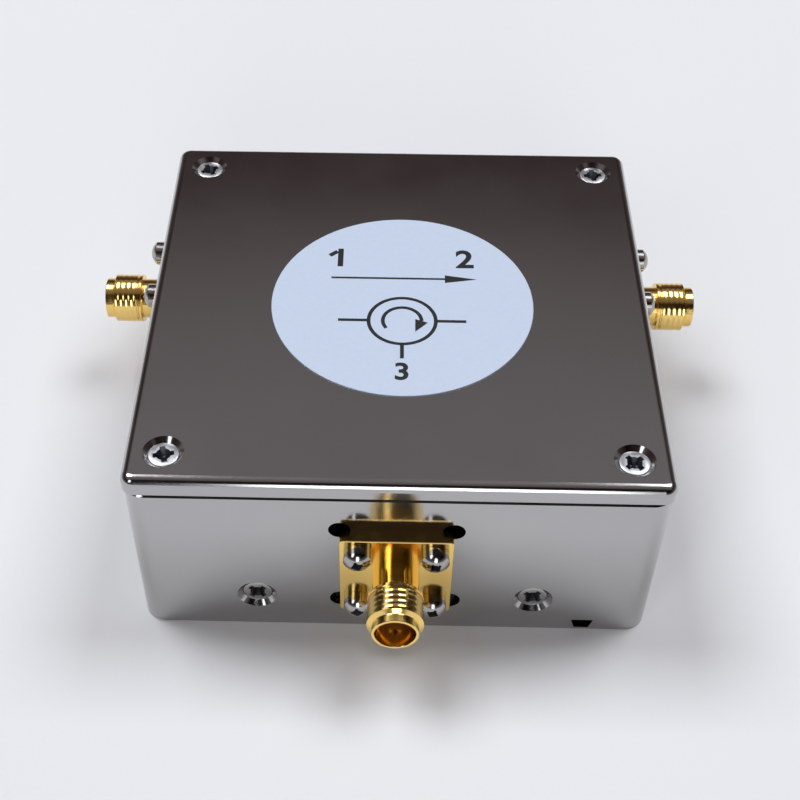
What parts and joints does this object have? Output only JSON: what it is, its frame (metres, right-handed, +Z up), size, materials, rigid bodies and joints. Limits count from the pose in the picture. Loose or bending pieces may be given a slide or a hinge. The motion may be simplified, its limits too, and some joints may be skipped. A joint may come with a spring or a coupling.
{
  "type": "rf circulator",
  "caption": "Square nickel-plated metal case with gold threaded coaxial ports on its walls; passes a radio signal from each port on to the next in one direction.",
  "frame": {"origin": "centre of the base, on the face that the part stands on", "axes": "+Z up through the lid, -Y out of the front port, +X out of the right-hand port"},
  "size_m": [0.0788, 0.0694, 0.0257],
  "materials": {
    "case_nickel": "polished",
    "screw_steel": "polished",
    "label_paper": "satin",
    "gold_plate": "polished",
    "amber_plastic": "satin",
    "magnet_ferrite": "matte",
    "pole_steel": "satin",
    "copper": "satin",
    "garnet_ferrite": "satin",
    "film": "gloss",
    "silicone": "matte",
    "capacitor_ceramic": "satin"
  },
  "bodies": {
    "root": {"housing_frame": "case_nickel", "base_plate": "case_nickel", "top_lid": "case_nickel", "lid_screws": "screw_steel", "base_screws": "screw_steel", "label": "label_paper", "port_1_jack": "gold_plate", "port_1_insulator": "amber_plastic", "port_1_contact": "gold_plate", "port_1_screws": "screw_steel", "port_2_jack": "gold_plate", "port_2_insulator": "amber_plastic", "port_2_contact": "gold_plate", "port_2_screws": "screw_steel", "port_3_jack": "gold_plate", "port_3_insulator": "amber_plastic", "port_3_contact": "gold_plate", "port_3_screws": "screw_steel", "lower_magnet": "magnet_ferrite", "lower_pole_plate": "pole_steel", "ground_plate": "copper", "lower_ferrite": "garnet_ferrite", "strip_1": "copper", "lower_film": "film", "strip_2": "copper", "upper_film": "film", "strip_3": "copper", "upper_ferrite": "garnet_ferrite", "ground_cap": "copper", "upper_pole_plate": "pole_steel", "upper_magnet": "magnet_ferrite", "compensation_disc": "pole_steel", "pressure_pad": "silicone", "capacitor_1": "capacitor_ceramic", "capacitor_2": "capacitor_ceramic", "capacitor_3": "capacitor_ceramic"}
  },
  "joints": []
}
